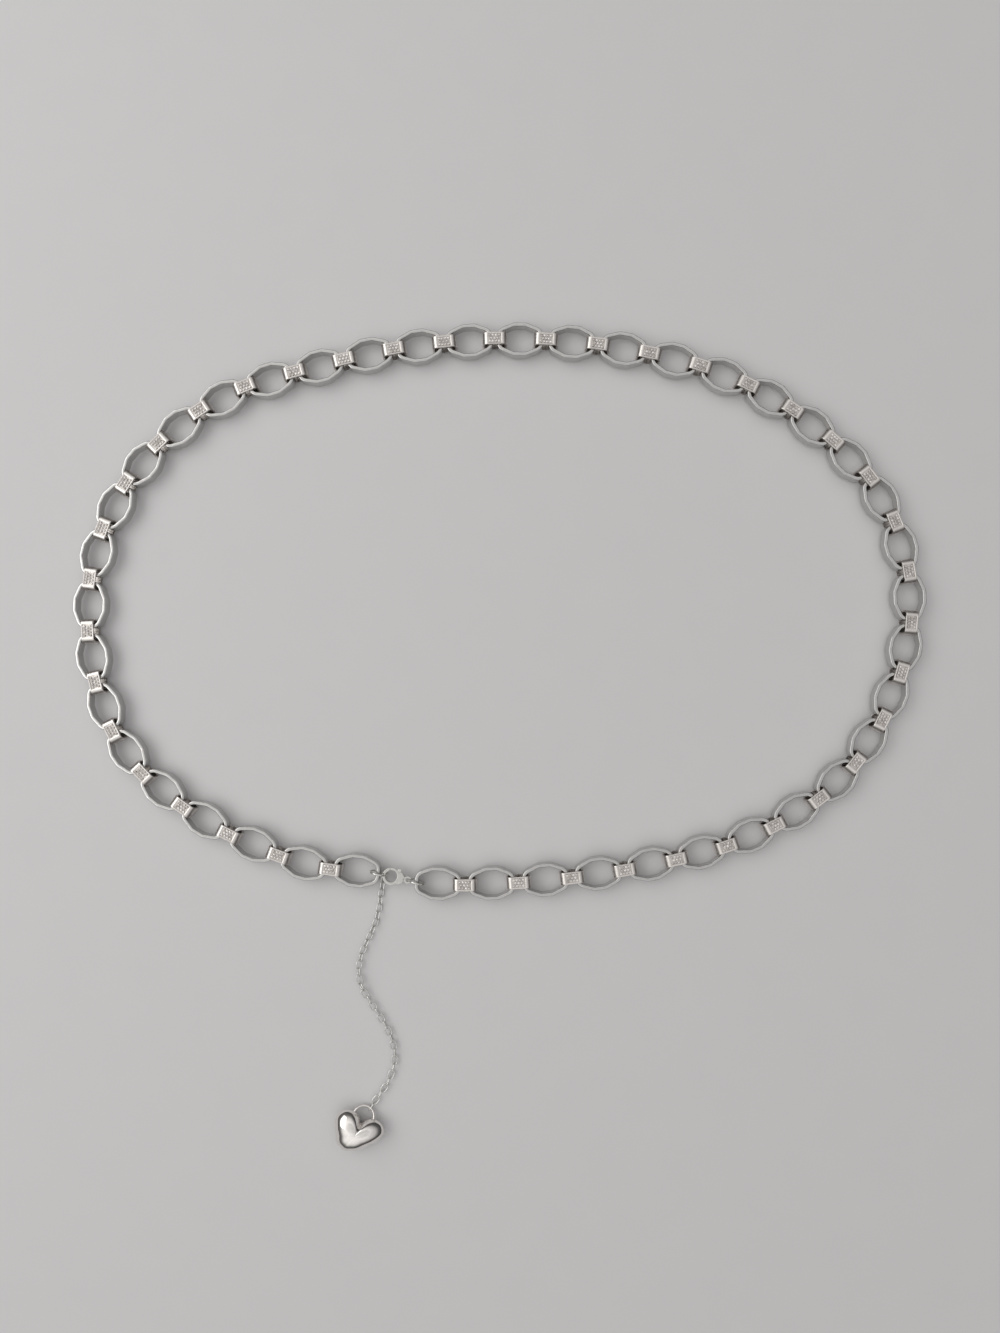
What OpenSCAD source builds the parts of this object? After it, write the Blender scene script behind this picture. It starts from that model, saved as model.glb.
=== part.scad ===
// Waist chain: oval rings of flat strip on edge, joined by folded bands, closed by a
// lobster clasp, with a fine cable chain and a puffed heart hanging from the closure.
// It lies on a surface at z = 0, as an open oval loop.

/* [Oval rings] */
// Length of a ring along the chain
ring_len = 18.6; // [17:0.1:22]
// Width of a ring across the chain
ring_w = 13.2; // [12:0.1:16]
// Height of the strip that a ring is bent from
ring_h = 4.6; // [3.5:0.1:6]
// Thickness of that strip
ring_wall = 1.5; // [1:0.1:1.8]
// Outer radius of the soft corners of a ring
ring_corner = 3.8; // [3:0.1:4.2]
// Straight run of the long side of a ring
ring_side = 3.6; // [2.6:0.1:5]
// Straight run of the end of a ring, where a band wraps it
ring_end = 2.6; // [2:0.1:3.4]
// Mean gap between neighbouring rings as the chain lies
ring_gap = 2.1; // [1.4:0.1:3.5]

/* [Folded bands] */
// Width of the band that joins two rings
band_w = 4.8; // [4:0.1:5.6]
// Thickness of the band
band_wall = 0.8; // [0.6:0.05:1.1]
// Outer radius of the rounded folds at the ends of the band
band_fold = 2.2; // [1.6:0.1:2.6]
// Slack between the end of a ring and the fold that holds it
band_slack = 1.55; // [1:0.05:2.5]
// Clearance over a ring inside the band
band_over = 0.25; // [0.15:0.05:0.6]
// Clearance under a ring inside the band
band_under = 0.2; // [0.15:0.05:0.6]
// Depth of the bed for the small stones on the top of the band
bed_depth = 0.25; // [0.1:0.05:0.4]
// Plain rim round that bed
bed_rim = 0.5; // [0.3:0.05:0.8]

/* [Closure] */
// Wire of the two jump rings that hold the clasp
jump_wire = 0.8; // [0.6:0.05:1]
// Room over the strip inside a jump ring
jump_room = 1.4; // [1.2:0.1:2.5]
// Bore of the clasp's hook
hook_bore = 4.8; // [4.4:0.1:5.4]
// Width of the rim round the hook
hook_rim = 1.1; // [0.8:0.05:1.3]
// Height of the rim round the hook
hook_h = 2; // [1.6:0.1:2.4]
// Height of the clasp's body
body_h = 2.4; // [2.2:0.1:3]
// Distance along the clasp from the lever's pin to the middle of the eye
eye_run = 3.3; // [3.2:0.1:4.5]
// Bore of the clasp's eye
eye_bore = 1.6; // [1.4:0.1:2]
// Width of the rim round the eye
eye_rim = 0.7; // [0.5:0.05:0.9]
// Thickness of the eye and of the neck in front of it
eye_h = 1.2; // [0.8:0.1:1.6]
// Height of the lever
lever_h = 1.3; // [1:0.05:1.5]
// Diameter of the pin that the lever turns on
pin_d = 0.8; // [0.6:0.05:1]

/* [Drop chain] */
// Length of the long link at the top of the drop
top_len = 5.4; // [4.8:0.1:7]
// Width of that link
top_w = 3.2; // [3:0.1:4]
// Wire of that link
top_wire = 0.6; // [0.5:0.05:0.7]
// Length of a fine cable link
link_len = 4.16; // [3.6:0.02:5]
// Width of a fine cable link
link_w = 2.8; // [2.6:0.05:3.4]
// Wire of a fine cable link
link_wire = 0.5; // [0.4:0.05:0.6]
// Outer diameter of the ring that joins the two lengths of the drop
join_d = 4.6; // [4.2:0.1:5.5]
// Wire of that ring
join_wire = 0.7; // [0.6:0.05:0.8]
// Play that is left where two links of the drop pull on each other
link_play = 0.14; // [0.12:0.01:0.25]

/* [Heart] */
// Width of the heart across its lobes
heart_w = 20.2; // [16:0.1:24]
// Length of the heart from the top of its lobes to its tip
heart_l = 15.9; // [13:0.1:19]
// Thickness of the puffed heart
heart_t = 9; // [7:0.1:12]
// How far the tip swings to one side
heart_lean = 2.5; // [0:0.1:4]
// Outer diameter of the round bail that is soldered into the notch
bail_d = 9.3; // [8.6:0.1:11]
// Wire of the bail
bail_wire = 0.9; // [0.7:0.05:1.1]

/* [Hidden] */
$fn = 48;
ring_count = 42;
upper_links = 14;
lower_links = 18;
silver = [0.79, 0.78, 0.76];
bright = [0.86, 0.85, 0.83];
clear = 0.12;

// The loop as it lies, from the ring on the right of the closure, counter-clockwise: one
// chosen point for every second ring and one for the last, stretched to the chain's length
loop_route = [
    [-26.3, -60.2], [16.9, -58.7], [59.1, -52.4], [99.2, -40.9], [134, -18.8], [155.5, 15.1], [162.8, 54.7],
    [151.6, 94.1], [123.9, 123.5], [88.6, 143.6], [48.1, 154.2], [6.6, 158], [-33.9, 155.4], [-73.8, 147.2],
    [-112.7, 134.3], [-144.9, 108.2], [-163, 72.2], [-164.8, 30.6], [-150.9, -7.5], [-119.6, -34.8],
    [-79.8, -52.1], [-58.7, -55.1]
];
// The drop as it lies, from the middle of its top link, stretched to its own length
drop_route = [
    [0, 0], [-0.9, -4.2], [-2, -12.4], [-3.6, -18.6], [-6, -24], [-8.6, -29.6], [-10, -35.4], [-9.9, -40.8],
    [-8.1, -45.8], [-5, -50.8], [-1.5, -56.2], [1.5, -61.4], [3.5, -66.8], [4.2, -72.4], [3.2, -78],
    [0.9, -83.4], [-2.1, -87.7], [-5.1, -92.1]
];
// Right half of the heart's outline, from the notch round the lobe to the tip:
// [share of the half width, share of the length above the tip]
heart_edge = [
    [0, 0.78], [0.12, 0.885], [0.31, 0.975], [0.55, 1], [0.82, 0.93], [0.99, 0.75],
    [0.91, 0.53], [0.67, 0.305], [0.44, 0.115], [0.13, 0.015], [0, 0]
];

function unit(v) = v / norm(v);
function heading(v) = atan2(v[1], v[0]);
function toward(a) = [cos(a), sin(a)];
function left_of(v) = [-v[1], v[0]];

// Smooth curves through chosen points, and the place at a length along them
function bend(p, q, r, s, t) =
    0.5 * (2 * q + (r - p) * t + (2 * p - 5 * q + 4 * r - s) * t * t + (3 * q - p - 3 * r + s) * t * t * t);
function closed_curve(p, steps) =
    let (n = len(p))
    [for (i = [0:n], k = [0:(i == n ? 0 : steps - 1)])
        bend(p[(i + n - 1) % n], p[i % n], p[(i + 1) % n], p[(i + 2) % n], k / steps)];
function open_curve(p, steps) =
    let (n = len(p), q = concat([2 * p[0] - p[1]], p, [2 * p[n - 1] - p[n - 2]]))
    [for (i = [0:n - 2], k = [0:(i == n - 2 ? steps : steps - 1)])
        bend(q[i], q[i + 1], q[i + 2], q[i + 3], k / steps)];
function run_of(c) =
    [for (i = 0, s = 0; i < len(c); s = s + (i + 1 < len(c) ? norm(c[i + 1] - c[i]) : 0), i = i + 1) s];
function tables(c) = let (s = run_of(c)) [for (a = [0, 1]) [for (i = [0:len(c) - 1]) [s[i], c[i][a]]]];
function end_of(t) = t[0][len(t[0]) - 1][0];
function place(t, s) = [lookup(s, t[0]), lookup(s, t[1])];

// Heights: a ring rests on the bottom of its bands, and clears the wire of a jump ring
jump_r = (ring_h + jump_room) / 2;
jump_mid = jump_r + jump_wire / 2;
jump_z = jump_wire + jump_r;
jump_seat = jump_z - sqrt(pow(jump_r - clear, 2) - pow(ring_wall / 2, 2));
ring_z = max(band_wall + band_under, jump_seat);
band_h = ring_z + ring_h + band_over + band_wall;

// Lengths along the chain
band_len = ring_gap + 2 * (ring_wall + band_slack + band_wall);
hook_r = hook_bore / 2;
eye_r = eye_bore / 2;
eye_reach = hook_r + hook_rim + eye_run;
hook_set = jump_mid - jump_wire / 2 - clear + hook_r;
eye_set = jump_mid + eye_r - jump_wire / 2 - clear;
closure_gap = hook_set + eye_reach + eye_set - ring_wall;
ring_pitch = ring_len + ring_gap;
loop_len = (ring_count - 1) * ring_pitch + ring_len + closure_gap;

// Rings and bands along the loop: the odd rings and the last lie at the chosen points
route_steps = 12;
loop_table = tables(closed_curve(loop_route, route_steps));
loop_scale = loop_len / end_of(loop_table);
function on_loop(s) = loop_scale * place(loop_table, ((s + loop_len) % loop_len) / loop_scale);
function knot_run(k) = loop_table[0][k * route_steps][0];
function route_run(i) =
    i == ring_count ? knot_run(ring_count / 2)
    : i % 2 == 1 ? knot_run((i - 1) / 2)
    : (knot_run(i / 2 - 1) + knot_run(i / 2)) / 2;
function ring_run(i) = (ring_count - 1) * ring_pitch * route_run(i) / route_run(ring_count);
function ring_at(i) = on_loop(ring_run(i));
function ring_turn(i) = heading(on_loop(ring_run(i) + ring_len / 2) - on_loop(ring_run(i) - ring_len / 2));
function ring_tip(i, side) = ring_at(i) + side * ring_len / 2 * toward(ring_turn(i));
function band_at(i) = (ring_tip(i, 1) + ring_tip(i + 1, -1)) / 2;
function band_turn(i) = heading(ring_at(i + 1) - ring_at(i));

ring_core = let (x = ring_len / 2 - ring_corner, y = ring_w / 2 - ring_corner, e = ring_end / 2, f = ring_side / 2)
    [[x, -e], [x, e], [f, y], [-f, y], [-x, e], [-x, -e], [-f, -y], [f, -y]];
// Points round a convex outline that a disc rolls out, in small turns at each bend
function soft_loop(core, r) = let (n = len(core)) [for (k = [0:n - 1])
    let (from = heading(core[k] - core[(k + n - 1) % n]) - 90,
        bend = (heading(core[(k + 1) % n] - core[k]) - 90 - from + 360) % 360,
        steps = max(1, ceil(bend / 9)))
    for (j = [0:steps]) core[k] + r * toward(from + bend * j / steps)];

// The closure lies between the last ring and the first
left_end = ring_tip(ring_count, 1) - ring_wall / 2 * toward(ring_turn(ring_count));
right_end = ring_tip(1, -1) + ring_wall / 2 * toward(ring_turn(1));
closure_turn = heading(right_end - left_end);
closure_way = toward(closure_turn);
closure_give = (norm(right_end - left_end) - hook_set - eye_reach - eye_set) / 2;
left_jump = left_end + closure_give * closure_way;
right_jump = right_end - closure_give * closure_way;
hook_at = left_jump + hook_set * closure_way;
mouth_from = 33;
mouth_to = 120;
lever_play = 0.1;
pin_play = 0.05;
lever_root = 1;
pivot = [hook_r + hook_rim, 1.5];
lever_reach = norm(hook_r * toward(mouth_to) - pivot);

// Pieces of the drop: [length, width, wire], from the top link to the last link
fine_link = [link_len, link_w, link_wire];
drop_pieces = concat(
    [[top_len, top_w, top_wire]], [for (k = [1:upper_links]) fine_link],
    [[join_d, join_d, join_wire]], [for (k = [1:lower_links]) fine_link]);
last_piece = len(drop_pieces) - 1;
function reach(k) = (drop_pieces[k][0] - drop_pieces[k][2]) / 2;
function next_gap(k) =
    reach(k) + reach(k + 1) - (drop_pieces[k][2] + drop_pieces[k + 1][2]) / 2 - link_play;
drop_run = [for (k = 0, s = 0; k <= last_piece; s = s + (k < last_piece ? next_gap(k) : 0), k = k + 1) s];
drop_table = tables(open_curve(drop_route, 8));
drop_scale = drop_run[last_piece] / end_of(drop_table);
drop_down = -left_of(closure_way);
jump_low = jump_mid * cos(45);
drop_top = left_jump + jump_low * closure_way + (reach(0) - (jump_wire + top_wire) / 2 - clear) * drop_down;
function on_drop(s) = drop_scale * place(drop_table, max(s, 0) / drop_scale);
function piece_at(k) = drop_top + on_drop(drop_run[k]);
function piece_turn(k) =
    k == 0 ? heading(drop_down) : heading(on_drop(drop_run[k] + reach(k)) - on_drop(drop_run[k] - reach(k)));
// The wires start leaning with the jump ring and end with the last link upright
drift = (last_piece % 2 == 1 ? 45 : -45) / last_piece;
function piece_roll(k) = -45 + (90 + drift) * k;
function piece_rise(k) =
    (drop_pieces[k][1] - drop_pieces[k][2]) / 2 * abs(sin(piece_roll(k))) + drop_pieces[k][2] / 2;
// Each piece lies as low as it can, and the chain between rises and falls slowly
function rest_z(k) = k == 0 ? jump_z - jump_low : piece_rise(k);
function piece_z(k) = max([for (j = [0:last_piece]) rest_z(j) - 0.08 * abs(j - k)]);

// The heart hangs on the last link by its bail: where on the bail, and how far the link slants
bail_side = 27;
bail_slant = 12.9;
bail_r = (bail_d - bail_wire) / 2;
bail_root = -0.9;
lobe_up = 4.4;
bail_tilt = asin((heart_t / 2 - piece_z(last_piece)) / (bail_r * (1 + cos(bail_side))));
last_way = toward(piece_turn(last_piece));
bail_grip = reach(last_piece) - clear - link_wire / 2 - bail_wire / 2 / cos(bail_slant) - link_wire / 2 * tan(bail_slant);
bail_point = piece_at(last_piece) + bail_grip * last_way;
heart_turn = heading(-last_way) - bail_slant + atan2(sin(bail_side), cos(bail_side) * cos(bail_tilt));
bail_up = bail_root + bail_r * cos(bail_tilt) * (1 + cos(bail_side));
heart_at = bail_point - bail_up * toward(heart_turn) + bail_r * sin(bail_side) * left_of(toward(heart_turn));
function heart_point(p) =
    [p[0] * heart_w / 2 - heart_lean * pow(1 - p[1], 2), p[1] * heart_l + lobe_up - heart_l];
heart_left = [for (i = [1:len(heart_edge) - 2]) [-heart_edge[i][0], heart_edge[i][1]]];
heart_right = [for (i = [len(heart_edge) - 1:-1:0]) heart_edge[i]];
heart_curve = closed_curve([for (p = concat(heart_right, heart_left)) heart_point(p)], 2);
heart_outline = [for (i = [0:len(heart_curve) - 2]) heart_curve[i]];
function on_heart(p) = heart_at + p[1] * toward(heart_turn) - p[0] * left_of(toward(heart_turn));

// The origin is the middle of everything's footprint
footprint = concat(
    [for (i = [1:ring_count], c = ring_core, s = [-1, 1])
        ring_at(i) + c[0] * toward(ring_turn(i)) + c[1] * left_of(toward(ring_turn(i))) + s * [ring_corner, ring_corner]],
    [for (p = heart_outline) on_heart(p)]);
function middle(a) = (min([for (p = footprint) p[a]]) + max([for (p = footprint) p[a]])) / 2;
centre = [middle(0), middle(1)];

function ring_name(i) = str("ring_", i < 10 ? "0" : "", i);

module at(p, z = 0, turn = 0) translate([p[0] - centre[0], p[1] - centre[1], z]) rotate(turn) children();

module soft_outline(core, r) {
    n = len(core);
    polygon([for (i = [0:n - 1])
        let (p = core[i], q = core[(i + 1) % n], out = -r * left_of(unit(q - p)))
        each [p + out, q + out]]);
    for (c = core) translate(c) circle(r);
}

module oval_ring(i) {
    color(silver) at(ring_at(i), ring_z, ring_turn(i)) linear_extrude(ring_h) difference() {
        polygon(soft_loop(ring_core, ring_corner));
        polygon(soft_loop(ring_core, ring_corner - ring_wall));
    }
}

module band_side(grow) {
    x = band_len / 2 - band_fold;
    y = band_h / 2 - band_fold;
    soft_outline([[x, -y], [x, y], [-x, y], [-x, -y]], band_fold - grow);
}

module folded_band() {
    difference() {
        translate([0, band_w / 2, band_h / 2]) rotate([90, 0, 0]) linear_extrude(band_w) difference() {
            band_side(0);
            band_side(band_wall);
        }
        translate([band_fold - band_len / 2, bed_rim - band_w / 2, band_h - bed_depth])
            cube([band_len - 2 * band_fold, band_w - 2 * bed_rim, band_wall]);
    }
}

module bands() {
    color(bright) for (i = [1:ring_count - 1]) at(band_at(i), 0, band_turn(i)) folded_band();
}

module round_ring(r, wire) rotate_extrude() translate([r, 0]) circle(wire / 2);

module jump_ring(p) {
    color(silver) at(p, jump_z, closure_turn) rotate([90, 0, 0]) round_ring(jump_mid, jump_wire);
}

module arc_rim(from, to, inner, width, height) {
    rotate(from) rotate_extrude(angle = to - from) translate([inner, -height / 2]) square([width, height]);
}

module disc(p, r, height) translate([p[0], p[1], -height / 2]) cylinder(h = height, r = r);

module clasp_body() {
    neck = eye_reach - eye_r - eye_rim / 2 - pivot[0];
    root = lever_root + lever_play;
    slot_h = lever_h + 2 * lever_play;
    back = pivot[0] - 0.4;
    color(silver) at(hook_at, jump_z, closure_turn) {
        difference() {
            union() {
                arc_rim(mouth_to, 330, hook_r, hook_rim, hook_h);
                difference() {
                    arc_rim(mouth_to - 25, mouth_to + 1, hook_r, hook_rim, hook_h);
                    disc(pivot, lever_reach, hook_h + 1);
                }
                difference() {
                    linear_extrude(body_h, center = true)
                        soft_outline([[back, -1.6], [back + 1, -1], [back + 1.2, 0.8], [back + 0.5, 1.5], [back - 0.3, 1.2]], 0.9);
                    disc([0, 0], hook_r, body_h + 1);
                }
                translate([pivot[0], -0.9, -eye_h / 2]) cube([neck, 1.8, eye_h]);
                disc([eye_reach, 0], eye_r + eye_rim, eye_h);
            }
            disc(pivot, root + 0.6, slot_h);
            disc([eye_reach, 0], eye_r, eye_h + 1);
        }
        disc(pivot, pin_d / 2, body_h);
    }
}

module clasp_lever() {
    tab = hook_r + hook_rim + 0.7;
    color(bright) at(hook_at, jump_z, closure_turn) difference() {
        union() {
            disc(pivot, lever_root, lever_h);
            intersection() {
                arc_rim(mouth_from, mouth_to, hook_r + 0.05, hook_rim - 0.15, lever_h);
                disc(pivot, lever_reach - lever_play, lever_h + 1);
            }
            arc_rim(40, 54, hook_r + 0.05, hook_rim + 0.5, lever_h);
            disc(tab * toward(47), 0.7, lever_h);
        }
        disc(pivot, pin_d / 2 + pin_play, lever_h + 1);
    }
}

module oval_link(piece) {
    r = (piece[1] - piece[2]) / 2;
    run = piece[0] - piece[1];
    if (run < 0.01) round_ring(r, piece[2]);
    else for (s = [-1, 1]) {
        translate([s * run / 2, 0, 0]) rotate(-90 * s) rotate_extrude(angle = 180) translate([r, 0]) circle(piece[2] / 2);
        translate([-run / 2, s * r, 0]) rotate([0, 90, 0]) cylinder(h = run, r = piece[2] / 2);
    }
}

module drop_piece(k) at(piece_at(k), piece_z(k), piece_turn(k)) rotate([piece_roll(k), 0, 0]) oval_link(drop_pieces[k]);

module drop_top_link() color(silver) drop_piece(0);
module drop_chain_upper() color(bright) for (k = [1:upper_links]) drop_piece(k);
module drop_join_ring() color(silver) drop_piece(upper_links + 1);
module drop_chain_lower() color(bright) for (k = [upper_links + 2:last_piece]) drop_piece(k);

// A puffed heart: its outline drawn in towards a middle point, with a broad face and sloping edges
module puffed_heart() {
    levels = 6;
    n = len(heart_outline);
    mid = heart_point([0, 0.52]);
    rings = [for (k = [1 - levels:levels - 1])
        let (a = 90 * k / levels, s = cos(a), z = heart_t / 2 * (1 + sign(a) * pow(1 - pow(s, 3), 0.8)))
        [for (p = heart_outline) [mid[0] + s * (p[0] - mid[0]), mid[1] + s * (p[1] - mid[1]), z]]];
    points = concat([for (r = rings, p = r) p], [[mid[0], mid[1], 0], [mid[0], mid[1], heart_t]]);
    low = len(points) - 2;
    top = len(points) - 1;
    last = (len(rings) - 1) * n;
    faces = concat(
        [for (r = [0:len(rings) - 2], i = [0:n - 1])
            let (a = r * n + i, b = r * n + (i + 1) % n) each [[a, a + n, b + n], [a, b + n, b]]],
        [for (i = [0:n - 1]) let (j = (i + 1) % n) each [[i, j, low], [last + j, last + i, top]]]);
    polyhedron(points, faces);
}

module heart_pendant() {
    color(bright) at(heart_at, 0, heart_turn - 90) {
        puffed_heart();
        translate([0, bail_root + bail_r * cos(bail_tilt), heart_t / 2 - bail_r * sin(bail_tilt)])
            rotate([-bail_tilt, 0, 0]) round_ring(bail_r, bail_wire);
    }
}

for (i = [1:ring_count]) oval_ring(i);
bands();
jump_ring(left_jump);  // left_jump_ring
jump_ring(right_jump);  // right_jump_ring
clasp_body();
clasp_lever();
drop_top_link();
drop_chain_upper();
drop_join_ring();
drop_chain_lower();
heart_pendant();
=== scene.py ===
import math

import bpy
import numpy as np
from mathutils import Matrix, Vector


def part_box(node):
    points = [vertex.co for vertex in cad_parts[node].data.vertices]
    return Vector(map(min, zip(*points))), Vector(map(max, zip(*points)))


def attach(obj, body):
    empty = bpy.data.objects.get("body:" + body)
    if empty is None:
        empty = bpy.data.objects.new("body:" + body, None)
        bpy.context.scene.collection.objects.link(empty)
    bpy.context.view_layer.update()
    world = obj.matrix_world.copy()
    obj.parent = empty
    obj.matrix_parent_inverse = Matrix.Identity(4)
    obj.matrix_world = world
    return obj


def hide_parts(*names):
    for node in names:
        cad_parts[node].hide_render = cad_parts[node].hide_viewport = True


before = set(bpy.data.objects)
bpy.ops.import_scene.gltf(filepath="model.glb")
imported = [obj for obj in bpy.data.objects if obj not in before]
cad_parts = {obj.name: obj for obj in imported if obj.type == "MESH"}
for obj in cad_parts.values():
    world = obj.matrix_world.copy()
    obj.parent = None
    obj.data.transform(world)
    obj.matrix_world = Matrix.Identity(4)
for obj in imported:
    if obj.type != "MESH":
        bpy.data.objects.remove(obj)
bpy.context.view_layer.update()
mm = 0.001

# The view: a camera over the table, looking straight down on the laid-out chain.
# The sheet is 1333 pixels tall, and a pixel of it covers about 0.4 mm of the tabletop.
sheet_tall = 1333
lens_pixels = 900
camera_height = 365 * mm
camera_over = (0.142 * mm, 18.939 * mm)
centre_drop = 23.5
long_side = 36
camera = bpy.data.objects.new("camera", bpy.data.cameras.new("camera"))
camera.data.sensor_width = long_side
camera.data.lens = long_side * lens_pixels / sheet_tall
camera.data.shift_y = centre_drop / sheet_tall
camera.data.clip_start = 10 * mm
camera.location = (*camera_over, camera_height)
bpy.context.collection.objects.link(camera)
bpy.context.scene.camera = camera
bpy.context.scene.view_settings.view_transform = "Standard"


# The tabletop is a sheet of matt grey board, a shade uneven as painted board is. It isn't
# part of the chain. One large soft window stands at its left, and pale walls give the rest.
def node(tree, kind, inputs=None, **settings):
    """A shader node; each of its inputs is given a value, or linked to another node's socket."""
    made = tree.nodes.new(kind)
    for name, value in settings.items():
        setattr(made, name, value)
    for socket, value in (inputs or {}).items():
        if isinstance(value, bpy.types.NodeSocket):
            tree.links.new(value, made.inputs[socket])
        else:
            made.inputs[socket].default_value = value
    return made


def finish_of(name, shader_inputs):
    """A material of one main shader, whose inputs come from shader_inputs."""
    material = bpy.data.materials.new(name)
    material.use_nodes = True
    tree = material.node_tree
    tree.nodes.clear()
    shader = node(tree, "ShaderNodeBsdfPrincipled", shader_inputs(tree))
    node(tree, "ShaderNodeOutputMaterial", {"Surface": shader.outputs["BSDF"]})
    return material


board_grey = (0.69, 0.685, 0.685, 1)
board_shade = (0.67, 0.664, 0.667, 1)
board_reach = 2.5


def board_inputs(tree):
    place = node(tree, "ShaderNodeTexCoord").outputs["Object"]
    mottle = node(tree, "ShaderNodeTexNoise", {"Vector": place, "Scale": 60, "Detail": 6})
    tooth = node(tree, "ShaderNodeTexNoise", {"Vector": place, "Scale": 1800, "Detail": 3})
    tint = node(tree, "ShaderNodeMix", {"Factor": mottle.outputs["Fac"]}, data_type="RGBA")
    tint.inputs["A"].default_value = board_grey
    tint.inputs["B"].default_value = board_shade
    grain = node(tree, "ShaderNodeBump", {"Height": tooth.outputs["Fac"], "Strength": 0.15,
                                          "Distance": 0.05 * mm})
    return {"Base Color": tint.outputs["Result"], "Roughness": 0.75, "Normal": grain.outputs["Normal"]}


board = bpy.data.meshes.new("board")
board.from_pydata([(-board_reach, -board_reach, 0), (board_reach, -board_reach, 0),
                   (board_reach, board_reach, 0), (-board_reach, board_reach, 0)], [], [(0, 1, 2, 3)])
board.materials.append(finish_of("grey_board", board_inputs))
tabletop = bpy.data.objects.new("tabletop", board)
bpy.context.collection.objects.link(tabletop)

window_at = (-0.68, 0.28, 0.56)
window_size = (0.5, 1.2)
window_power = 2.35
window = bpy.data.objects.new("window", bpy.data.lights.new("window", "AREA"))
window.data.shape = "RECTANGLE"
window.data.size, window.data.size_y = window_size
window.data.energy = window_power
window.location = window_at
window.rotation_euler = (0, math.atan2(window_at[0], window_at[2]), 0)
bpy.context.collection.objects.link(window)

# The room is palest where its walls meet the ceiling, a little dimmer straight overhead and
# dark low down: [share of the way up to the zenith, brightness]. Its left is the lighter side.
# Behind the table stands a pale wall, which adds no light.
room_heights = [(0, 0.05), (0.35, 0.15), (0.6, 0.66), (0.87, 0.95), (0.94, 0.72), (1, 0.68)]
room_left = (1.26, 1.245, 1.22, 1)
room_right = (0.7, 0.695, 0.7, 1)
pale_wall = (0.62, 0.615, 0.615, 1)
world = bpy.data.worlds.new("room")
bpy.context.scene.world = world
world.use_nodes = True
room = world.node_tree
room.nodes.clear()
way = node(room, "ShaderNodeTexCoord").outputs["Generated"]
parts_of_way = node(room, "ShaderNodeSeparateXYZ", {"Vector": way}).outputs
rightward = node(room, "ShaderNodeMapRange", {"Value": parts_of_way["X"],
                                              "From Min": -0.6, "From Max": 0.6})
bright = node(room, "ShaderNodeValToRGB", {"Fac": parts_of_way["Z"]})
for spot, (share, value) in enumerate(room_heights):
    stops = bright.color_ramp.elements
    stop = stops[spot] if spot < 2 else stops.new(share)
    stop.position, stop.color = share, (value, value, value, 1)
sides = node(room, "ShaderNodeMix", data_type="RGBA",
             inputs={"Factor": rightward.outputs["Result"], "A": room_left, "B": room_right})
lit = node(room, "ShaderNodeBackground", {"Color": sides.outputs["Result"],
                                          "Strength": bright.outputs["Color"]})
wall = node(room, "ShaderNodeBackground", {"Color": pale_wall})
seen = node(room, "ShaderNodeLightPath").outputs["Is Camera Ray"]
either = node(room, "ShaderNodeMixShader", {0: seen, 1: lit.outputs["Background"],
                                            2: wall.outputs["Background"]})
node(room, "ShaderNodeOutputWorld", {"Surface": either.outputs["Shader"]})

# The oval rings are cast from a white alloy as a strip standing on edge, tumbled so that
# every edge is soft, and plated. They lie loose on the board, held in place by the bands.
ring_len, ring_w, ring_h, ring_wall = 18.6 * mm, 13.2 * mm, 4.6 * mm, 1.5 * mm
ring_corner, ring_side, ring_end = 3.8 * mm, 3.6 * mm, 2.6 * mm
ring_edge = 0.4 * mm
ring_count = 42


def points_of(name):
    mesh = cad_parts[name].data
    flat = np.empty(3 * len(mesh.vertices))
    mesh.vertices.foreach_get("co", flat)
    return flat.reshape(-1, 3)


def heading_of(points):
    """Middle of a piece's box, and the way that it points along the table."""
    middle = (points.min(0) + points.max(0)) / 2
    flat = (points - middle)[:, :2]
    return middle, np.linalg.eigh(flat.T @ flat)[1][:, -1]


def soft_loop(core, radius, steps):
    """Points and outward normals round a convex outline, rolled by a disc."""
    places, outs = [], []
    for k, (x, y) in enumerate(core):
        before, after = core[k - 1], core[(k + 1) % len(core)]
        start = math.atan2(y - before[1], x - before[0]) - math.pi / 2
        stop = math.atan2(after[1] - y, after[0] - x) - math.pi / 2
        stop += 2 * math.pi * (stop < start)
        for turn in np.linspace(start, stop, steps):
            outs.append((math.cos(turn), math.sin(turn)))
            places.append((x + radius * outs[-1][0], y + radius * outs[-1][1]))
    return np.array(places), np.array(outs)


def skin(rows, closed=True):
    """Vertices and faces of a tube through equal rows of points, with flat ends if it is open."""
    count, width = len(rows), len(rows[0])
    faces = []
    for r in range(count if closed else count - 1):
        for i in range(width):
            a, b = r * width, (r + 1) % count * width
            j = (i + 1) % width
            faces.append((a + i, a + j, b + j, b + i))
    if not closed:
        faces.append(tuple(reversed(range(width))))
        faces.append(tuple(range((count - 1) * width, count * width)))
    return facing_out(np.concatenate([np.asarray(row, float) for row in rows]), faces)


def facing_out(vertices, faces):
    volume = 0
    for face in faces:
        a = vertices[face[0]]
        for b, c in zip(face[1:-1], face[2:]):
            volume += a @ np.cross(vertices[b], vertices[c])
    return vertices, faces if volume > 0 else [tuple(reversed(face)) for face in faces]


def laid(points, middle, along):
    """Points given along, across and up from a piece's own middle, where that piece lies."""
    points = np.asarray(points, float)
    side = np.array([-along[1], along[0]])
    flat = middle[:2] + points[:, :1] * along + points[:, 1:2] * side
    return np.column_stack([flat, middle[2] + points[:, 2]])


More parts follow.
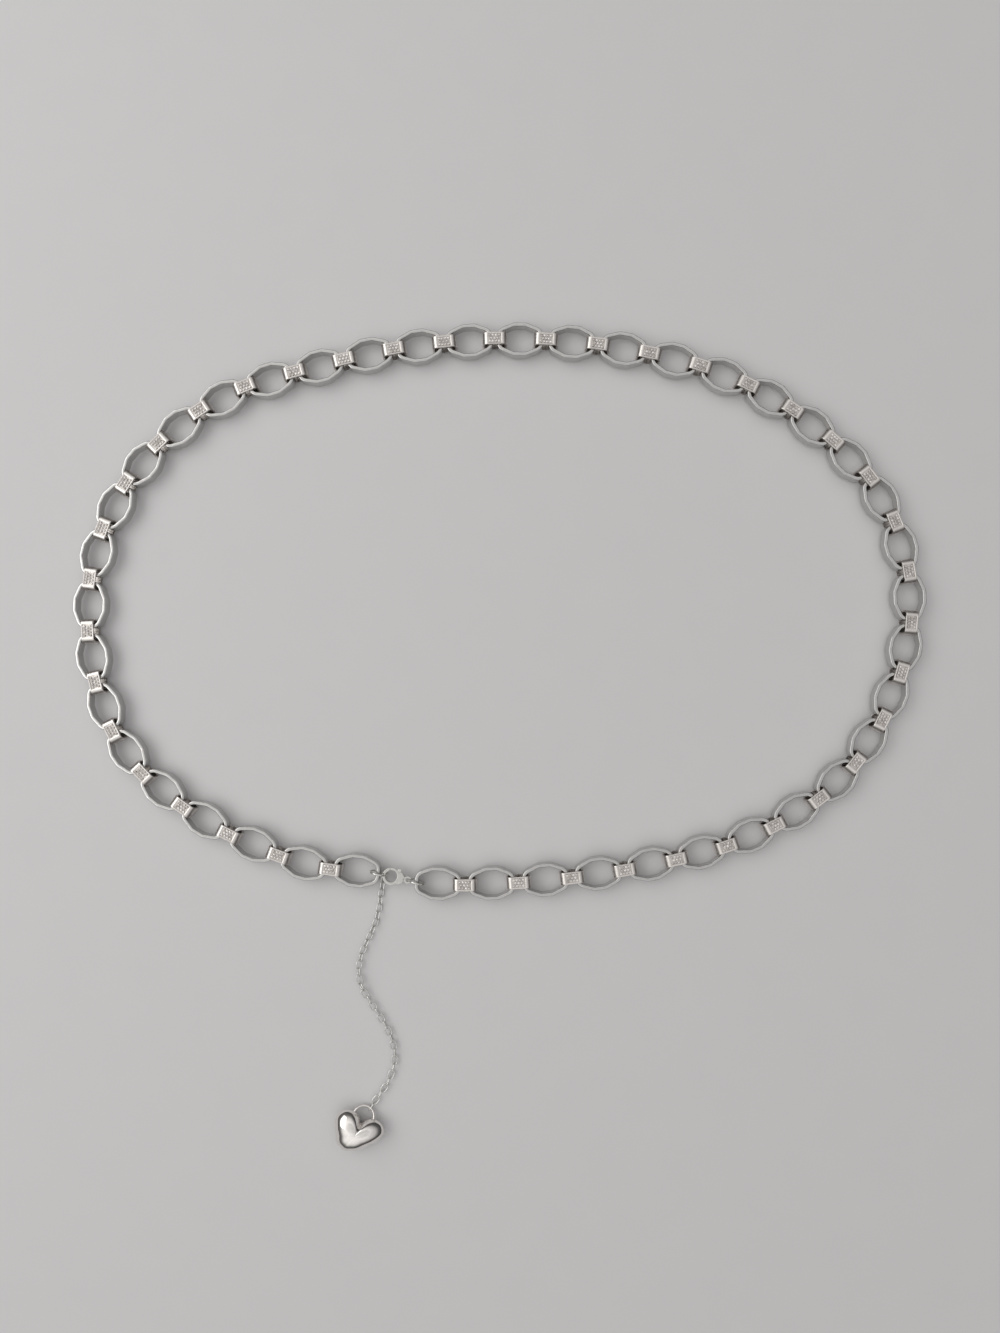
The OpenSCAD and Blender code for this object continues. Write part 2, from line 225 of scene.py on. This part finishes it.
def piece(name, parts, material, slot, body, *nodes):
    """One object of several parts, each (vertices, faces). A part may add its material's number
    and a painted glint for each face, a tone that stands in for a reflection."""
    vertices, faces, marks, painted_glints = [], [], [], []
    for part in parts:
        shift = sum(len(v) for v in vertices)
        vertices.append(part[0])
        faces += [tuple(shift + v for v in face) for face in part[1]]
        marks += [part[2] if len(part) > 2 else 0] * len(part[1])
        painted_glints += part[3] if len(part) > 3 else [0] * len(part[1])
    mesh = bpy.data.meshes.new(name)
    mesh.from_pydata(np.concatenate(vertices).tolist(), [], faces)
    for each in (material if isinstance(material, list) else [material]):
        mesh.materials.append(each)
    mesh.polygons.foreach_set("material_index", marks)
    mesh.polygons.foreach_set("use_smooth", [mark == 0 for mark in marks])
    if any(marks):
        mesh.attributes.new("painted_glint", "FLOAT", "FACE").data.foreach_set("value", painted_glints)
    made = bpy.data.objects.new(name, mesh)
    bpy.context.collection.objects.link(made)
    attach(made, body)
    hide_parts(*nodes)
    return made


def keep_flats(made):
    """Keeps the flat faces flat beside their rounded edges."""
    weights = made.modifiers.new("flats", "WEIGHTED_NORMAL")
    weights.keep_sharp = True
    weights.weight = 80


# Polish, wear and painted light and shade that every plated piece shows: a slow waviness left by hand
# polishing, fine hairlines, a haze of handling, and a colour that follows how sharply the surface bends,
# painted light on the edges and painted shade in the hollows.
wear_and_shade = bpy.data.node_groups.new("polish_wear_and_painted_shade", "ShaderNodeTree")
wear_and_shade_inputs = [("Metal", "Color", (0.8, 0.79, 0.77, 1)), ("Shade", "Color", (0.5, 0.49, 0.47, 1)),
               ("Polish", "Float", 0.14), ("Haze", "Float", 0.1), ("Waves", "Float", 0.3),
               ("Hairlines", "Float", 0.3), ("Grain", "Vector", (1, 1, 1))]
for label, kind, value in wear_and_shade_inputs:
    wear_and_shade.interface.new_socket(label, in_out="INPUT", socket_type=f"NodeSocket{kind}").default_value = value
for label, kind in (("Color", "Color"), ("Roughness", "Float"), ("Normal", "Vector")):
    wear_and_shade.interface.new_socket(label, in_out="OUTPUT", socket_type=f"NodeSocket{kind}")
given = node(wear_and_shade, "NodeGroupInput").outputs
place = node(wear_and_shade, "ShaderNodeTexCoord").outputs["Object"]
sized = node(wear_and_shade, "ShaderNodeVectorMath", {0: place, 1: given["Grain"]}, operation="MULTIPLY").outputs[0]
slow = node(wear_and_shade, "ShaderNodeTexNoise", {"Vector": sized, "Scale": 260, "Detail": 2})
cloud = node(wear_and_shade, "ShaderNodeTexNoise", {"Vector": sized, "Scale": 700, "Detail": 5, "Roughness": 0.65})
turned = node(wear_and_shade, "ShaderNodeMapping", {"Vector": sized, "Rotation": (0.4, 0.2, 0.7),
                                          "Scale": (500, 9000, 3000)})
lines = node(wear_and_shade, "ShaderNodeTexNoise", {"Vector": turned.outputs["Vector"], "Scale": 1, "Detail": 3})
scratch = node(wear_and_shade, "ShaderNodeMapRange", {"Value": lines.outputs["Fac"],
                                            "From Min": 0.6, "From Max": 0.75})
bend = node(wear_and_shade, "ShaderNodeNewGeometry").outputs["Pointiness"]
edges = node(wear_and_shade, "ShaderNodeMapRange", {"Value": bend, "From Min": 0.44, "From Max": 0.56})
# Painted light and shade: sharp edges take the Metal colour, and flats and hollows take the Shade colour.
edge_light_and_shade = node(wear_and_shade, "ShaderNodeMix", data_type="RGBA",
              inputs={"Factor": edges.outputs["Result"], "A": given["Shade"], "B": given["Metal"]})
clouded = node(wear_and_shade, "ShaderNodeMapRange", {"Value": cloud.outputs["Fac"], "From Min": 0.3,
                                            "From Max": 0.75, "To Min": 0.9, "To Max": 1.04})
toned = node(wear_and_shade, "ShaderNodeMix", data_type="RGBA", blend_type="MULTIPLY",
             inputs={"Factor": 1, "A": edge_light_and_shade.outputs["Result"], "B": clouded.outputs["Result"]})
hazed = node(wear_and_shade, "ShaderNodeMath", {0: cloud.outputs["Fac"], 1: given["Haze"], 2: given["Polish"]},
             operation="MULTIPLY_ADD")
lined = node(wear_and_shade, "ShaderNodeMath", {0: scratch.outputs["Result"], 1: given["Hairlines"]},
             operation="MULTIPLY")
rough = node(wear_and_shade, "ShaderNodeMath", {0: lined.outputs[0], 1: 0.25, 2: hazed.outputs[0]},
             operation="MULTIPLY_ADD")
wavy = node(wear_and_shade, "ShaderNodeBump", {"Height": slow.outputs["Fac"], "Strength": given["Waves"],
                                     "Distance": 0.12 * mm})
fine = node(wear_and_shade, "ShaderNodeBump", invert=True, inputs={
    "Height": scratch.outputs["Result"], "Strength": given["Hairlines"], "Distance": 0.004 * mm,
    "Normal": wavy.outputs["Normal"]})
node(wear_and_shade, "NodeGroupOutput", {"Color": toned.outputs["Result"], "Roughness": rough.outputs[0],
                               "Normal": fine.outputs["Normal"]})


def plated(name, metal, shade, polish, haze, waves, hairlines, grain=1):
    """A plated metal: metal is the colour painted on its edges, and shade the painted shade in its flats and
    hollows.
    """
    def inputs(tree):
        worn = node(tree, "ShaderNodeGroup", node_tree=wear_and_shade)
        values = {"Metal": (*metal, 1), "Shade": (*shade, 1), "Polish": polish, "Haze": haze,
                  "Waves": waves, "Hairlines": hairlines, "Grain": (grain, grain, grain)}
        for label, value in values.items():
            worn.inputs[label].default_value = value
        return {"Base Color": worn.outputs["Color"], "Metallic": 1,
                "Roughness": worn.outputs["Roughness"], "Normal": worn.outputs["Normal"]}
    return finish_of(name, inputs)


# The rings' silver is a darker copy of the plated metal, with its edges a shade darker than its flats: painted
# shade that dims the rims' reflections.
ring_silver_shaded = plated("ring_silver_shaded", metal=(0.62, 0.61, 0.6), shade=(0.63, 0.62, 0.605),
                     polish=0.13, haze=0.12, waves=0.35, hairlines=0.35)


def ring_name(number):
    return f"ring_{number:02d}"


ring_core = [(ring_len / 2 - ring_corner, -ring_end / 2), (ring_len / 2 - ring_corner, ring_end / 2),
             (ring_side / 2, ring_w / 2 - ring_corner), (-ring_side / 2, ring_w / 2 - ring_corner),
             (ring_corner - ring_len / 2, ring_end / 2), (ring_corner - ring_len / 2, -ring_end / 2),
             (-ring_side / 2, ring_corner - ring_w / 2), (ring_side / 2, ring_corner - ring_w / 2)]
strip_run, strip_out = soft_loop(ring_core, ring_corner - ring_wall / 2, 9)
rim_x, rim_z = ring_wall / 2 - ring_edge, ring_h / 2 - ring_edge
rim_core = [(rim_x, -rim_z), (rim_x, rim_z), (-rim_x, rim_z), (-rim_x, -rim_z)]
strip_section = soft_loop(rim_core, ring_edge, 4)[0]
ring_rows = [[(x + nx * d, y + ny * d, z) for d, z in strip_section]
             for (x, y), (nx, ny) in zip(strip_run, strip_out)]
ring_points, ring_faces = skin(ring_rows)
ring_places = []
for number in range(1, ring_count + 1):
    middle, along = heading_of(points_of(ring_name(number)))
    on = middle[:2] - ring_places[-1][0][:2] if ring_places else np.array([1, 0])
    ring_places.append((middle, along * np.sign(along @ on)))
    ring = (laid(ring_points, *ring_places[-1]), ring_faces)
    keep_flats(piece(ring_name(number) + "_cast", [ring], ring_silver_shaded, "rings", "chain", ring_name(number)))

# The folded bands are flat strips bent into a closed loop round the ends of two rings, with
# the seam underneath. Each has a sunk bed on top, set with eleven small foiled stones that
# are held by raised beads of the metal. Each stone facet is painted a random tone from dark
# to near white: painted glints that stand in for reflections. They are brighter than the rings.
band_w, band_wall, band_fold, band_len = 4.8 * mm, 0.8 * mm, 2.2 * mm, 9.8 * mm
bed_depth, bed_rim, bed_slope = 0.25 * mm, 0.5 * mm, 0.06 * mm
band_edge, band_seam = 0.18 * mm, 0.1 * mm
band_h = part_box("bands")[1].z
stone_r, stone_pitch, stone_row = 0.57 * mm, 1.26 * mm, 1.18 * mm
bead_r, stone_stand = 0.18 * mm, 0.14 * mm
bed_floor = band_h / 2 - bed_depth


def band_metal():
    x, z = band_len / 2 - band_fold, band_h / 2 - band_fold
    run, out = soft_loop([(x, -z), (x, z), (-x, z), (-x, -z)], band_fold, 9)
    stations = [(p[0], p[1], n[0], n[1], 0) for p, n in zip(run, out)]
    half = len(stations) // 2
    top = band_h / 2
    bed = [(x - bed_slope, top, 0, 1, 1), (bed_slope - x, top, 0, 1, 1)]
    seam = band_seam / 2
    stations = [(seam, -top, 0, -1, 0), *stations[:half], *bed, *stations[half:], (-seam, -top, 0, -1, 0)]
    turns = np.linspace(0, math.pi / 2, 4)
    edge = [(band_edge * (1 - math.cos(t)), band_edge * (1 - math.sin(t))) for t in turns]
    w, b = band_w / 2, band_w / 2 - bed_rim
    rows = []
    for px, pz, nx, nz, sunk in stations:
        section = [(a - w, d) for a, d in edge]
        section += [(-b, 0), (bed_slope - b, sunk * bed_depth), (b - bed_slope, sunk * bed_depth), (b, 0)]
        section += [(w - a, d) for a, d in edge[::-1]]
        section += [(w - a, band_wall - d) for a, d in edge]
        section += [(a - w, band_wall - d) for a, d in edge[::-1]]
        rows.append([(px - nx * d, y, pz - nz * d) for y, d in section])
    return skin(rows, closed=False)


def stacked(levels, sides, start=0.0):
    """A turned form of level rings, (radius, height), closed flat at both ends."""
    turns = [start + 2 * math.pi * k / sides for k in range(sides)]
    return skin([[(r * math.cos(t), r * math.sin(t), h) for t in turns] for r, h in levels], closed=False)


def moved(form, x, y, z):
    """The same form with its middle put elsewhere."""
    return form[0] + np.array([x, y, z]), form[1]


stone_form = stacked([(0.55 * stone_r, -0.2 * mm), (stone_r, -0.04 * mm), (stone_r, 0.02 * mm),
                      (0.8 * stone_r, 0.16 * mm), (0.52 * stone_r, 0.22 * mm)], 8, math.pi / 8)
bead_form = stacked([(bead_r, -0.1 * mm), (bead_r, 0.08 * mm), (0.7 * bead_r, 0.2 * mm),
                     (0.3 * bead_r, 0.25 * mm)], 6)
stone_spots = [((k - 1.5) * stone_pitch, side * stone_row) for side in (-1, 1) for k in range(4)]
stone_spots += [((k - 1) * stone_pitch, 0) for k in range(3)]
bead_spots = [((k - 1) * stone_pitch, side * stone_row * 0.62) for side in (-1, 1) for k in range(3)]
bead_spots += [((k - 1.5) * stone_pitch, side * stone_row * 0.38) for side in (-1, 1) for k in range(4)]
bead_spots += [((k - 2) * stone_pitch, side * stone_row * 1.5) for side in (-1, 1) for k in range(5)]
bead_spots += [(side * 1.75 * stone_pitch, 0) for side in (-1, 1)]
chance = np.random.default_rng(11)


# The stone's colour runs from dark brown to near white with each facet's painted glint: painted reflections.
def stone_inputs(tree):
    painted_glint = node(tree, "ShaderNodeAttribute", attribute_name="painted_glint").outputs["Fac"]
    tone = node(tree, "ShaderNodeMix", data_type="RGBA",
                inputs={"Factor": painted_glint, "A": (0.34, 0.3, 0.28, 1), "B": (0.98, 0.94, 0.91, 1)})
    return {"Base Color": tone.outputs["Result"], "Metallic": 0.5, "Roughness": 0.06, "IOR": 2.1,
            "Coat Weight": 1, "Coat Roughness": 0.02}


band_silver = plated("band_silver", metal=(0.84, 0.8, 0.765), shade=(0.68, 0.64, 0.605),
                     polish=0.22, haze=0.14, waves=0.25, hairlines=0.4)
band_form = band_metal()
band_parts = []
for (before, before_way), (after, after_way) in zip(ring_places, ring_places[1:]):
    tips = before[:2] + before_way * ring_len / 2, after[:2] - after_way * ring_len / 2
    way = (after - before)[:2] / np.linalg.norm((after - before)[:2])
    middle = np.array([*(tips[0] + tips[1]) / 2, band_h / 2])
    band_parts.append((laid(band_form[0], middle, way), band_form[1]))
    for x, y in stone_spots:
        points, faces = moved(stone_form, x, y, bed_floor + stone_stand)
        # A painted glint for each facet: one random tone for the stone, plus a random tone for each facet.
        painted_glints = 0.6 * chance.random() + 0.6 * chance.random(len(faces)) ** 1.5
        band_parts.append((laid(points, middle, way), faces, 1, list(painted_glints.clip(0, 1))))
    for x, y in bead_spots:
        points, faces = moved(bead_form, x, y, bed_floor)
        band_parts.append((laid(points, middle, way), faces))
band_finishes = [band_silver, finish_of("stone_painted_glints", stone_inputs)]
keep_flats(piece("set_bands", band_parts, band_finishes, "bands", "chain", "bands"))

# The two jump rings are wound from round wire and closed butt to butt, which leaves a fine
# slit. The left one passes round the last oval ring and carries the clasp's hook and the
# drop, and the right one holds the clasp's eye.
jump_wire = 0.8 * mm
jump_slit = 3
jump_points, jump_sides = 65, 14
clasp_silver = plated("clasp_silver", metal=(0.84, 0.83, 0.8), shade=(0.55, 0.54, 0.51),
                      polish=0.1, haze=0.1, waves=0.25, hairlines=0.3)


def wire_round(run, ups, wire, sides, closed=True):
    """Round wire along a flat run of points, each with its outward normal; ups crosses the run's plane."""
    turns = [2 * math.pi * k / sides for k in range(sides)]
    rows = []
    for p, out in run:
        rows.append([p + wire / 2 * (math.cos(t) * out + math.sin(t) * ups) for t in turns])
    return skin(rows, closed)


jump_boxes = [[np.array(corner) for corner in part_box(name)] for name in ("left_jump_ring", "right_jump_ring")]
jump_middles = [(low + high) / 2 for low, high in jump_boxes]
closure_way = jump_middles[1] - jump_middles[0]
closure_way /= np.linalg.norm(closure_way)
closure_side = np.array([-closure_way[1], closure_way[0], 0])
up = np.array([0, 0, 1])
jump_r = (jump_boxes[0][1][2] - jump_boxes[0][0][2] - jump_wire) / 2
for name, middle, slit_at in (("left_jump_ring", jump_middles[0], 150),
                              ("right_jump_ring", jump_middles[1], 60)):
    turns = np.radians(np.linspace(slit_at + jump_slit / 2, slit_at + 360 - jump_slit / 2, jump_points))
    outs = [math.cos(t) * closure_way + math.sin(t) * up for t in turns]
    run = [(middle + jump_r * out, out) for out in outs]
    wound = wire_round(run, closure_side, jump_wire, jump_sides, closed=False)
    piece(name + "_wire", [wound], clasp_silver, "clasp", "chain", name)

# The lobster clasp is two castings: a body with its hook, neck and eye, and a sprung lever
# that turns on a riveted pin and closes the hook's mouth. Tumbling has rounded every edge.
cast_voxel = 0.07 * mm


def as_cast(name, material, passes):
    """Gives a CAD casting tumbled edges: a fine even mesh, smoothed a number of times."""
    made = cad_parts[name]
    weld = made.modifiers.new("weld", "WELD")
    weld.merge_threshold = 0.001 * mm
    cast = made.modifiers.new("cast", "REMESH")
    cast.mode = "VOXEL"
    cast.voxel_size = cast_voxel
    cast.use_smooth_shade = True
    tumbled = made.modifiers.new("tumbled", "SMOOTH")
    tumbled.iterations = passes
    tumbled.factor = 0.5
    for holder in made.material_slots:
        holder.material = material


as_cast("clasp_body", clasp_silver, 10)
as_cast("clasp_lever", clasp_silver, 8)

# The drop hangs from the left jump ring by one long link: a fine cable chain of oval links,
# a round joining ring part way, and more of the same chain. Each link is soldered wire.
chain_silver = plated("chain_silver", metal=(0.8, 0.785, 0.76), shade=(0.56, 0.55, 0.52),
                      polish=0.12, haze=0.1, waves=0.2, hairlines=0.2)
cable_link = (4.16 * mm, 2.8 * mm, 0.5 * mm)
link_kinds = {"drop_top_link": (5.4 * mm, 3.2 * mm, 0.6 * mm), "drop_chain_upper": cable_link,
              "drop_join_ring": (4.6 * mm, 4.6 * mm, 0.7 * mm), "drop_chain_lower": cable_link}
link_points, link_sides = 36, 10


def solids_of(name):
    """The points of each loose solid of a node."""
    points = points_of(name)
    kept, same = np.unique(points.round(7), axis=0, return_inverse=True)
    same = same.reshape(-1)
    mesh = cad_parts[name].data
    ends = np.empty(2 * len(mesh.edges), int)
    mesh.edges.foreach_get("vertices", ends)
    a, b = same[ends.reshape(-1, 2)].T
    group = np.arange(len(kept))
    while True:
        low = np.minimum(group[a], group[b])
        new = group.copy()
        np.minimum.at(new, a, low)
        np.minimum.at(new, b, low)
        new = new[new]
        if (new == group).all():
            return [kept[group == g] for g in np.unique(group)]
        group = new


def link_on(points, length, width, wire):
    """A wire link of that size, lying as the solid with these points does."""
    middle = (points.min(0) + points.max(0)) / 2
    axes = np.linalg.eigh((points - middle).T @ (points - middle))[1]
    across_plane, side, along = axes[:, 0], axes[:, 1], axes[:, 2]
    r, half = (width - wire) / 2, (length - width) / 2
    run = []
    for t in np.linspace(0, 2 * math.pi, link_points, endpoint=False) + math.pi / link_points:
        out = math.cos(t) * along + math.sin(t) * side
        run.append((middle + math.copysign(half, math.cos(t)) * along + r * out, out))
    return wire_round(run, across_plane, wire, link_sides)


for name, (length, width, wire) in link_kinds.items():
    links = [link_on(points, length, width, wire) for points in solids_of(name)]
    piece(name + "_wire", links, chain_silver, "fine_chain", "chain", name)

# The heart is pressed in two halves and puffed, hollow in life, with a round wire bail
# soldered in the notch between its lobes. It has the highest polish of all.
heart_w, heart_l, heart_t, heart_lean, lobe_up = 20.2 * mm, 15.9 * mm, 9 * mm, 2.5 * mm, 4.4 * mm
bail_d, bail_wire, bail_root, bail_side = 9.3 * mm, 0.9 * mm, -0.9 * mm, math.radians(27)
heart_edge = [(0, 0.78), (0.12, 0.885), (0.31, 0.975), (0.55, 1), (0.82, 0.93), (0.99, 0.75),
              (0.91, 0.53), (0.67, 0.305), (0.44, 0.115), (0.13, 0.015), (0, 0)]
heart_middle = 0.52
face_breadth, edge_slope = 3, 0.8
heart_levels, curve_steps, bail_points, bail_sides = 20, 6, 64, 16


def heart_point(across, above):
    return np.array([across * heart_w / 2 - heart_lean * (1 - above) ** 2,
                     above * heart_l + lobe_up - heart_l])


def closed_curve(points, steps):
    """A smooth closed curve through the points."""
    count, curve = len(points), []
    for i in range(count):
        p, q, r, s = (points[(i + k) % count] for k in (-1, 0, 1, 2))
        for t in np.linspace(0, 1, steps, endpoint=False):
            curve.append(0.5 * (2 * q + (r - p) * t + (2 * p - 5 * q + 4 * r - s) * t ** 2
                                + (3 * q - p - 3 * r + s) * t ** 3))
    return np.array(curve)


def puffed(outline, middle, levels):
    """The outline drawn in towards its middle, with a broad face and sloping edges, front and back."""
    rows = []
    for k in range(1 - levels, levels):
        turn = math.pi / 2 * k / levels
        share = math.cos(turn)
        z = heart_t / 2 * math.copysign((1 - share ** face_breadth) ** edge_slope, k)
        rows.append([(*(middle + share * (p - middle)), z) for p in outline])
    points, faces = skin(rows, closed=False)
    sides, last = len(outline), (len(rows) - 1) * len(outline)
    faces = [face for face in faces if len(face) == 4]
    poles = len(points), len(points) + 1
    points = np.concatenate([points, [(*middle, -heart_t / 2), (*middle, heart_t / 2)]])
    caps = [((i + 1) % sides, i, poles[0]) for i in range(sides)]
    caps += [(last + i, last + (i + 1) % sides, poles[1]) for i in range(sides)]
    return facing_out(points, faces + caps)


heart_round = [heart_point(x, y) for x, y in heart_edge[::-1]]
heart_round += [heart_point(-x, y) for x, y in heart_edge[1:-1]]
heart_outline = closed_curve(heart_round, curve_steps)
heart_mid = heart_point(0, heart_middle)
cad_heart = points_of("heart_pendant")
last_link = min(solids_of("drop_chain_lower"), key=lambda points: points[:, 1].min()).mean(0)
at_rim = cad_heart[abs(cad_heart[:, 2] - heart_t / 2) < 0.01 * mm]
tip_place = at_rim[np.linalg.norm(at_rim - last_link, axis=1).argmax()][:2]
mid_place = cad_heart[cad_heart[:, 2].argmax()][:2]


def bearing(way):
    return math.atan2(way[1], way[0])


heart_turn = bearing(mid_place - tip_place) - bearing(heart_mid - heart_point(0, 0))
heart_way = np.array([math.cos(heart_turn), math.sin(heart_turn)])
heart_side = np.array([-heart_way[1], heart_way[0]])
heart_place = np.array([*(mid_place - heart_mid[0] * heart_way - heart_mid[1] * heart_side), heart_t / 2])
bail_r = (bail_d - bail_wire) / 2
bail_tilt = math.asin((heart_t / 2 - last_link[2]) / (bail_r * (1 + math.cos(bail_side))))
bail_rise = np.array([0, math.cos(bail_tilt), -math.sin(bail_tilt)])
bail_face = np.array([0, math.sin(bail_tilt), math.cos(bail_tilt)])
bail_middle = np.array([0, bail_root, 0]) + bail_r * bail_rise
bail_run = []
for t in np.linspace(0, 2 * math.pi, bail_points, endpoint=False):
    out = math.sin(t) * np.array([1, 0, 0]) - math.cos(t) * bail_rise
    bail_run.append((bail_middle + bail_r * out, out))
bail = wire_round(bail_run, bail_face, bail_wire, bail_sides)
shell = puffed(heart_outline, heart_mid, heart_levels)
heart_silver = plated("heart_silver", metal=(0.95, 0.915, 0.885), shade=(0.82, 0.785, 0.755),
                      polish=0.05, haze=0.06, waves=0.25, hairlines=0.25)
heart_parts = [(laid(points, heart_place, heart_way), faces) for points, faces in (shell, bail)]
piece("puffed_heart", heart_parts, heart_silver, "heart", "chain", "heart_pendant")
